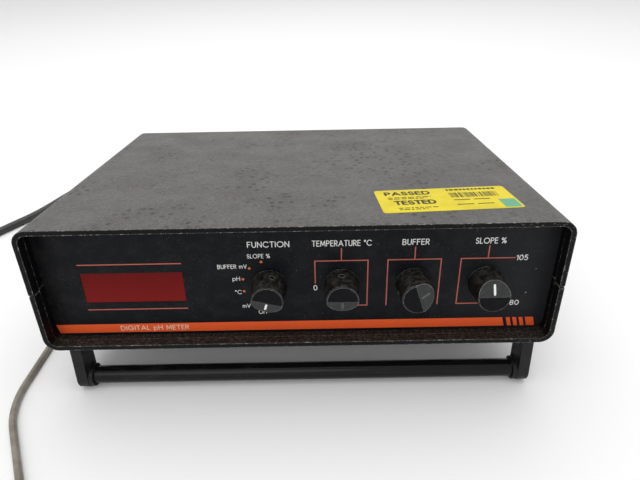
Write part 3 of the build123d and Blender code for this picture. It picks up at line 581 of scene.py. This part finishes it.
def slab(name, loops, place, lift, thickness, material, body):
    """A thin closed plate from overlapping flat loops; place turns (u, v, height) into the row frame."""
    points, faces = [], []
    for loop in loops:
        faces.append(list(range(len(points), len(points) + len(loop))))
        points.extend(Vector(point) for point in loop)
    flat, _, triangles, _, _, sources = delaunay_2d_cdt(points, [], faces, 1, SLOP)
    triangles = [triangle for triangle, source in zip(triangles, sources) if source]
    mesh = bmesh.new()
    lower = [mesh.verts.new(place(u, v, lift)) for u, v in flat]
    upper = [mesh.verts.new(place(u, v, lift + thickness)) for u, v in flat]
    outline = {}
    for triangle in triangles:
        mesh.faces.new([upper[i] for i in triangle])
        mesh.faces.new([lower[i] for i in reversed(triangle)])
        for i, first in enumerate(triangle):
            edge = (first, triangle[(i + 1) % len(triangle)])
            if edge[::-1] in outline:
                del outline[edge[::-1]]
            else:
                outline[edge] = True
    for first, second in outline:
        mesh.faces.new([lower[first], lower[second], upper[second], upper[first]])
    bmesh.ops.recalc_face_normals(mesh, faces=mesh.faces)
    data = bpy.data.meshes.new(name)
    mesh.to_mesh(data)
    mesh.free()
    piece = bpy.data.objects.new(name, data)
    bpy.context.scene.collection.objects.link(piece)
    dress(piece, material)
    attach(piece, body)


def on_panel(x, z, height):
    """A place on the front panel, height millimetres in front of it."""
    return LEAN @ Vector((x, PANEL_Y - height, z)) * MM


def box_loop(x0, z0, x1, z1, slant=0.0):
    """A rectangle, its top edge shifted by slant."""
    return [(x0, z0), (x1, z0), (x1 + slant, z1), (x0 + slant, z1)]


def arc(cx, cy, rx, ry, start, end, step=15):
    """Points along an ellipse, angles in degrees anticlockwise from the right."""
    steps = max(3, round(abs(end - start) / step))
    angles = [math.radians(start + (end - start) * i / steps) for i in range(steps + 1)]
    return [(cx + rx * math.cos(a), cy + ry * math.sin(a)) for a in angles]


def stroke_loops(points, weight):
    """Overlapping loops that draw a line of even weight with round joints and ends."""
    loops = []
    for (x0, y0), (x1, y1) in zip(points, points[1:]):
        length = math.hypot(x1 - x0, y1 - y0)
        if length < SLOP:
            continue
        nx = (y0 - y1) / length * weight / 2
        ny = (x1 - x0) / length * weight / 2
        loops.append([(x0 - nx, y0 - ny), (x1 - nx, y1 - ny), (x1 + nx, y1 + ny), (x0 + nx, y0 + ny)])
    for x, y in points:
        loops.append(arc(x, y, weight / 2, weight / 2, 0, 300, 30))
    return loops


def ring(cx, cy, rx, ry):
    return arc(cx, cy, rx, ry, 0, 360)


# A plain geometric alphabet: each sign has its width and its strokes, in units of the capital height.
SIGNS = {
    "A": (0.80, [[(0, 0), (0.40, 1), (0.80, 0)], [(0.13, 0.32), (0.67, 0.32)]]),
    "B": (
        0.54,
        [
            [(0, 0), (0, 1), *arc(0.27, 0.77, 0.23, 0.23, 90, -90), (0, 0.54)],
            [(0.27, 0.54), *arc(0.27, 0.27, 0.27, 0.27, 90, -90), (0, 0)],
        ],
    ),
    "C": (0.84, [arc(0.48, 0.5, 0.48, 0.5, 45, 315)]),
    "D": (0.70, [[(0, 0), (0, 1), *arc(0.25, 0.5, 0.45, 0.5, 90, -90), (0, 0)]]),
    "E": (0.46, [[(0.46, 1), (0, 1), (0, 0), (0.46, 0)], [(0, 0.53), (0.42, 0.53)]]),
    "F": (0.46, [[(0.46, 1), (0, 1), (0, 0)], [(0, 0.53), (0.40, 0.53)]]),
    "G": (0.94, [[*arc(0.48, 0.5, 0.48, 0.5, 45, 350), (0.94, 0.46), (0.56, 0.46)]]),
    "H": (0.64, [[(0, 0), (0, 1)], [(0.64, 0), (0.64, 1)], [(0, 0.53), (0.64, 0.53)]]),
    "I": (0.02, [[(0.01, 0), (0.01, 1)]]),
    "L": (0.42, [[(0, 1), (0, 0), (0.42, 0)]]),
    "M": (0.84, [[(0, 0), (0.08, 1), (0.42, 0.18), (0.76, 1), (0.84, 0)]]),
    "N": (0.64, [[(0, 0), (0, 1), (0.64, 0), (0.64, 1)]]),
    "O": (0.98, [ring(0.49, 0.5, 0.49, 0.5)]),
    "P": (0.50, [[(0, 0), (0, 1), *arc(0.25, 0.74, 0.25, 0.26, 90, -90), (0, 0.48)]]),
    "R": (
        0.52,
        [
            [(0, 0), (0, 1), *arc(0.25, 0.74, 0.25, 0.26, 90, -90), (0, 0.48)],
            [(0.2, 0.48), (0.52, 0)],
        ],
    ),
    "S": (
        0.50,
        [[*arc(0.25, 0.75, 0.22, 0.25, 25, 270), *arc(0.25, 0.25, 0.25, 0.25, 90, -155)]],
    ),
    "T": (0.56, [[(0, 1), (0.56, 1)], [(0.28, 1), (0.28, 0)]]),
    "U": (0.60, [[(0, 1), *arc(0.30, 0.3, 0.30, 0.3, 180, 360), (0.60, 1)]]),
    "V": (0.70, [[(0, 1), (0.35, 0), (0.70, 1)]]),
    "m": (
        0.76,
        [
            [(0, 0), (0, 0.66)],
            [*arc(0.19, 0.45, 0.19, 0.2, 180, 0), (0.38, 0)],
            [*arc(0.57, 0.45, 0.19, 0.2, 180, 0), (0.76, 0)],
        ],
    ),
    "p": (0.58, [[(0, -0.32), (0, 0.66)], ring(0.29, 0.33, 0.29, 0.32)]),
    "0": (0.60, [ring(0.30, 0.5, 0.30, 0.5)]),
    "1": (0.20, [[(0, 0.80), (0.20, 1), (0.20, 0)]]),
    "5": (0.52, [[(0.46, 1), (0.10, 1), (0.04, 0.56), *arc(0.24, 0.31, 0.28, 0.31, 120, -145)]]),
    "8": (0.54, [ring(0.27, 0.76, 0.22, 0.24), ring(0.27, 0.27, 0.27, 0.27)]),
    "°": (0.24, [ring(0.12, 0.86, 0.12, 0.13)]),
    "%": (
        0.80,
        [
            ring(0.15, 0.80, 0.15, 0.19),
            ring(0.65, 0.20, 0.15, 0.19),
            [(0.66, 1), (0.14, 0)],
        ],
    ),
    " ": (0.22, []),
}
LETTER_GAP = 0.27


def lettering(text, left, right, middle, height, weight):
    """Loops for a line of text set between left and right, centred on a height."""
    natural = sum(SIGNS[sign][0] for sign in text) + LETTER_GAP * (len(text) - 1)
    stretch = (right - left - weight) / natural
    loops = []
    pen = left + weight / 2
    base = middle - height / 2
    rise = height - weight
    for sign in text:
        width, strokes = SIGNS[sign]
        for stroke in strokes:
            points = [(pen + x * stretch, base + weight / 2 + y * rise) for x, y in stroke]
            loops.extend(stroke_loops(points, weight))
        pen += (width + LETTER_GAP) * stretch
    return loops


# ---------------------------------------------------------------- the front panel's print
FRAME_HALF = 14.2  # half the side of the frame round a knob
FRAME_LINE = 0.62
HEADING_Z = 57.7
HEADING_HEIGHT = 3.5
HEADING_WEIGHT = 0.44
HEADING_GAP = 1.4  # between a heading and the stem under it
NAME_HEIGHT = 2.6
NAME_WEIGHT = 0.31
SCALE_HEIGHT = 3.3
SCALE_WEIGHT = 0.45
SCALE_ASIDE = 4.0  # from a frame's side to the middle of a scale's end
WINDOW_MARGIN = 2.6  # from the window's flange to the ends of its lines
DOT_REACH = 14.8  # from the function knob's axis to the dots
DOT_RADIUS = 0.75
SWITCH_PLACES = range(-165, -14, 30)  # degrees clockwise from the top
STRIPE_LOW, STRIPE_HIGH = 3.3, 9.0
STRIPE_MARGIN = 0.6
STRIPE_LEFT_SLANT = 1.2
STRIPE_END = 116.6
STRIPE_SLANT = -1.6
BAR_WIDTHS = (2.2, 2.2, 2.2, 4.6)
BAR_START = 2.0  # from the stripe's end to the first bar
BAR_GAP = 1.4
LEGEND_LEFT, LEGEND_RIGHT = -101.5, -62.6
LEGEND_HEIGHT = 3.3
LEGEND_WEIGHT = 0.46


def panel_lettering():
    """White legends: four headings, the function names and the ends of the scales."""
    white = ink("legend_ink", (0.74, 0.74, 0.72), (0.52, 0.52, 0.50))
    x = {name: place.x for name, place in KNOBS.items()}
    loops = []
    headings = (
        ("FUNCTION", x["function"] + 0.6, 22.2),
        ("TEMPERATURE °C", x["temperature"] + 0.2, 31.4),
        ("BUFFER", x["buffer"], 14.2),
        ("SLOPE %", x["slope"] + 0.3, 16.2),
    )
    for text, middle, width in headings:
        left, right = middle - width / 2, middle + width / 2
        loops += lettering(text, left, right, HEADING_Z, HEADING_HEIGHT, HEADING_WEIGHT)
    names = (
        ("SLOPE %", 1.1, 12.2, 17.8),
        ("BUFFER mV", -11.6, 15.8, 11.7),
        ("pH", -15.9, 4.1, 4.2),
        ("°C", -15.6, 3.7, -4.3),
        ("mV", -11.5, 4.4, -13.3),
        ("OFF", -1.8, 5.5, -17.6),
    )
    for text, end, width, rise in names:
        right = x["function"] + end
        loops += lettering(text, right - width, right, KNOB_Z + rise, NAME_HEIGHT, NAME_WEIGHT)
    slope_ends = x["slope"] + FRAME_HALF + SCALE_ASIDE
    ends = (
        ("0", x["temperature"] - FRAME_HALF, 2.2, -2.4),
        ("105", slope_ends, 6.2, FRAME_HALF),
        ("80", slope_ends, 5.2, -FRAME_HALF),
    )
    for text, middle, width, rise in ends:
        left, right = middle - width / 2, middle + width / 2
        loops += lettering(text, left, right, KNOB_Z + rise, SCALE_HEIGHT, SCALE_WEIGHT)
    slab("panel_lettering", loops, on_panel, 0, INK, white, "case")


def panel_lines():
    """Salmon lines: frames and stems round the three trimming knobs, and lines over and under the window."""
    salmon = ink("line_ink", (0.46, 0.120, 0.090), (0.33, 0.085, 0.065))
    top, bottom = KNOB_Z + FRAME_HALF, KNOB_Z - FRAME_HALF
    stem = HEADING_Z - HEADING_HEIGHT / 2 - HEADING_GAP
    sides = {}
    runs = []
    for name in ("temperature", "buffer", "slope"):
        middle = KNOBS[name].x
        sides[name] = (middle - FRAME_HALF, middle + FRAME_HALF)
        runs.append([(middle, top), (middle, stem)])
    left, right = sides["temperature"]
    runs.append([(left, KNOB_Z + 0.7), (left, top), (right, top), (right, bottom), (right - 9, bottom)])
    left, right = sides["buffer"]
    runs.append([(left, bottom), (left, top), (right, top), (right, bottom)])
    left, right = sides["slope"]
    runs.append([(right, top), (left, top), (left, bottom), (left + 12.5, bottom)])
    window_low, window_high = case_box("display_window")
    for z in (top, bottom):
        runs.append([(window_low.x + WINDOW_MARGIN, z), (window_high.x - WINDOW_MARGIN, z)])
    reach = FRAME_LINE / 2
    loops = []
    for run in runs:
        for (x0, z0), (x1, z1) in zip(run, run[1:]):
            low_x, high_x = min(x0, x1) - reach, max(x0, x1) + reach
            low_z, high_z = min(z0, z1) - reach, max(z0, z1) + reach
            loops.append(box_loop(low_x, low_z, high_x, high_z))
    slab("panel_lines", loops, on_panel, 0, INK, salmon, "case")


def panel_dots():
    """Orange dots at the six places of the function switch."""
    orange = ink("dot_ink", (0.62, 0.16, 0.045), (0.45, 0.10, 0.035))
    loops = []
    for angle in SWITCH_PLACES:
        turn = math.radians(angle)
        x = KNOBS["function"].x + DOT_REACH * math.sin(turn)
        z = KNOB_Z + DOT_REACH * math.cos(turn)
        loops.append(arc(x, z, DOT_RADIUS, DOT_RADIUS, 0, 345))
    slab("panel_dots", loops, on_panel, 0, INK, orange, "case")


def panel_stripe():
    """The orange stripe with its pale legend, and plain slanted bars at its right end."""
    orange = ink("stripe_ink", (0.78, 0.105, 0.026), (0.66, 0.095, 0.030), 0.45)
    pale = ink("stripe_legend_ink", (0.78, 0.60, 0.46), (0.66, 0.40, 0.26))
    start = PANEL_LOW.x + STRIPE_MARGIN
    stripe = [
        (start + STRIPE_LEFT_SLANT, STRIPE_LOW),
        (STRIPE_END, STRIPE_LOW),
        (STRIPE_END + STRIPE_SLANT, STRIPE_HIGH),
        (start, STRIPE_HIGH),
    ]
    slab("panel_stripe", [stripe], on_panel, 0, INK, orange, "case")
    bars = []
    pen = STRIPE_END + BAR_START
    for width in BAR_WIDTHS:
        bars.append(box_loop(pen, STRIPE_LOW, pen + width, STRIPE_HIGH, STRIPE_SLANT))
        pen += width + BAR_GAP
    slab("stripe_bars", bars, on_panel, 0, INK, orange, "case")
    middle = (STRIPE_LOW + STRIPE_HIGH) / 2
    legend = lettering(
        "DIGITAL pH METER", LEGEND_LEFT, LEGEND_RIGHT, middle, LEGEND_HEIGHT, LEGEND_WEIGHT
    )
    slab("stripe_lettering", legend, on_panel, INK, INK, pale, "case")


# ---------------------------------------------------------------- pointers
POINTER_START, POINTER_END = 2.2, 7.0  # from the knob's axis, down the facet
POINTER_WEIGHT = 1.15
POINTER_THICKNESS = 0.06


def pointers():
    """The white line on each knob's facet, bright on two knobs and worn on the other two."""
    bright = ink("pointer_paint", (0.82, 0.82, 0.80), (0.66, 0.66, 0.64))
    worn = ink("worn_pointer_paint", (0.10, 0.10, 0.098), (0.075, 0.075, 0.073))
    line = stroke_loops([(0, POINTER_START), (0, POINTER_END)], POINTER_WEIGHT)
    outward = frame_vector(FRONT)
    for name, centre in KNOBS.items():
        normal, points = FACETS[name]
        down_slope = (normal - outward * normal.dot(outward)).normalized()
        middle = LEAN @ centre * MM
        along = (down_slope - normal * down_slope.dot(normal)).normalized()
        across = along.cross(normal)
        height = sum(normal.dot(point) for point in points) / len(points)
        start = middle + outward * (height - normal.dot(middle)) / normal.dot(outward)

        def on_facet(u, v, lift, start=start, along=along, across=across, normal=normal):
            return start + (across * u + along * v + normal * lift) * MM

        material = bright if name in ("function", "slope") else worn
        slab(name + "_pointer", line, on_facet, 0, POINTER_THICKNESS, material, name + "_control")


# ---------------------------------------------------------------- inspection label
# Places on the label are measured from its lower left corner.
LABEL_WIDTH, LABEL_DEPTH = 75.0, 32.3
LABEL_TURN = 3.9  # degrees anticlockwise, seen from above
LABEL_SEED = 5
LABEL_HEADINGS = (("PASSED", 5, 31, 26.5, 5.6, 1.15), ("TESTED", 8, 31, 13.0, 6.0, 1.25))
WORD_ROWS = ((20.5, 6, 30), (18.6, 6, 27), (5.6, 9, 30), (3.6, 9, 24))  # height, start, end
WORD_GAP = 0.8
CODE_LEFT = 41.0  # where the right-hand print begins
CODE_LOW, CODE_HIGH, CODE_RIGHT = 17.5, 24.5, 68
CAPTION_LOW, CAPTION_HIGH, CAPTION_RIGHT = 28.0, 30.2, 69
CAPTION_GAP = 0.6
RULE_HEIGHTS = (13.5, 7.0)
RULE_STARTS = (CODE_LEFT, 52.0)
RULE_LENGTH, RULE_WEIGHT = 9, 0.9
PATCH_LEFT, PATCH_TOP, PATCH_MARGIN = 65, 12.5, 1.2


def label_print():
    """A generic test label: two headings, rows of dashes, a code of random bars and a teal corner patch."""
    points = case_places("inspection_label")
    top = max(point.z for point in points)
    middle = sum(points, Vector()) / len(points)
    turn = math.radians(LABEL_TURN)
    left, bottom = -LABEL_WIDTH / 2, -LABEL_DEPTH / 2

    def on_label(u, v, lift):
        x = middle.x + u * math.cos(turn) - v * math.sin(turn)
        y = middle.y + u * math.sin(turn) + v * math.cos(turn)
        return LEAN @ Vector((x, y, top + lift)) * MM

    def mark(start, low, end, high):
        return box_loop(left + start, bottom + low, left + end, bottom + high)

    black = ink("label_ink", (0.030, 0.028, 0.020), (0.09, 0.08, 0.03))
    teal = ink("label_teal", (0.13, 0.36, 0.22), (0.19, 0.46, 0.30))
    chance = random.Random(LABEL_SEED)
    loops = []
    for text, start, end, rise, height, weight in LABEL_HEADINGS:
        loops += lettering(text, left + start, left + end, bottom + rise, height, weight)
    for rise, start, end in WORD_ROWS:
        pen = start
        while pen < end:
            word = chance.uniform(1.2, 3.6)
            loops.append(mark(pen, rise - 0.4, min(pen + word, end), rise + 0.5))
            pen += word + WORD_GAP
    pen = CODE_LEFT
    while pen < CODE_RIGHT:
        bar = chance.choice((0.35, 0.55, 0.9))
        loops.append(mark(pen, CODE_LOW, pen + bar, CODE_HIGH))
        pen += bar + chance.choice((0.4, 0.6, 1.0))
    pen = CODE_LEFT
    while pen < CAPTION_RIGHT:
        word = chance.uniform(1.0, 2.4)
        loops.append(mark(pen, CAPTION_LOW, pen + word, CAPTION_HIGH))
        pen += word + CAPTION_GAP
    for rise in RULE_HEIGHTS:
        for start in RULE_STARTS:
            loops.append(mark(start, rise, start + RULE_LENGTH, rise + RULE_WEIGHT))
    slab("label_print", loops, on_label, 0, INK, black, "case")
    patch = mark(PATCH_LEFT, PATCH_MARGIN, LABEL_WIDTH - PATCH_MARGIN, PATCH_TOP)
    slab("label_patch", [patch], on_label, 0, INK, teal, "case")


# ---------------------------------------------------------------- stage, lights and camera
FLOOR_HALF = 6.0  # metres
LAMPS = (  # name, place, target, size and power
    ("overhead", (0.0, 0.45, 1.6), (0, 0.05, 0), 2.2, 16),
    ("front_fill", (-0.4, -1.4, 1.1), (0, 0, 0.03), 1.2, 5),
)
WORLD_STRENGTH = 0.80
CAMERA_PLACE = (13.47, -316.68, 174.14)
CAMERA_ASIDE = -0.163  # degrees to the right of straight ahead
CAMERA_DOWN = 26.271
CAMERA_ROLL = -1.109
CAMERA_LENS = 27.894


def floor():
    """A pale floor at the height of the bench."""
    paint = Paint("floor")
    paint.set(base_color=colour(0.86), roughness=0.6)
    low = cad_bounds[0].z
    size = FLOOR_HALF
    mesh = bpy.data.meshes.new("floor")
    corners = [(-size, -size, low), (size, -size, low), (size, size, low), (-size, size, low)]
    mesh.from_pydata(corners, [], [(0, 1, 2, 3)])
    piece = bpy.data.objects.new("floor", mesh)
    bpy.context.scene.collection.objects.link(piece)
    dress(piece, paint.material)


def lights():
    """Two soft disks and a white surround."""
    for name, place, target, size, power in LAMPS:
        data = bpy.data.lights.new(name, "AREA")
        data.shape = "DISK"
        data.size = size
        data.energy = power
        lamp = bpy.data.objects.new(name, data)
        bpy.context.scene.collection.objects.link(lamp)
        lamp.location = place
        lamp.rotation_euler = (Vector(target) - Vector(place)).to_track_quat("-Z", "Y").to_euler()
    world = bpy.data.worlds.new("studio")
    world.use_nodes = True
    background = world.node_tree.nodes["Background"]
    background.inputs["Color"].default_value = colour(1.0)
    background.inputs["Strength"].default_value = WORLD_STRENGTH
    bpy.context.scene.world = world
    bpy.context.scene.view_settings.view_transform = "Standard"


def camera():
    """The camera stands in front of the case's middle and looks down on it."""
    aside = math.radians(CAMERA_ASIDE)
    down = math.radians(CAMERA_DOWN)
    roll = math.radians(CAMERA_ROLL)
    level_x, level_y = math.sin(aside), math.cos(aside)
    look = Vector((level_x * math.cos(down), level_y * math.cos(down), -math.sin(down)))
    turn = look.to_track_quat("-Z", "Y") @ Matrix.Rotation(roll, 3, "Z").to_quaternion()
    data = bpy.data.cameras.new("camera")
    data.sensor_width = 36.0
    data.lens = CAMERA_LENS
    data.clip_start = 0.01
    eye = bpy.data.objects.new("camera", data)
    bpy.context.scene.collection.objects.link(eye)
    place = Vector(CAMERA_PLACE) * MM
    eye.matrix_world = LEAN @ Matrix.Translation(place) @ turn.to_matrix().to_4x4()
    bpy.context.scene.camera = eye


paint_nodes()
panel_lettering()
panel_lines()
panel_dots()
panel_stripe()
pointers()
label_print()
floor()
lights()
camera()
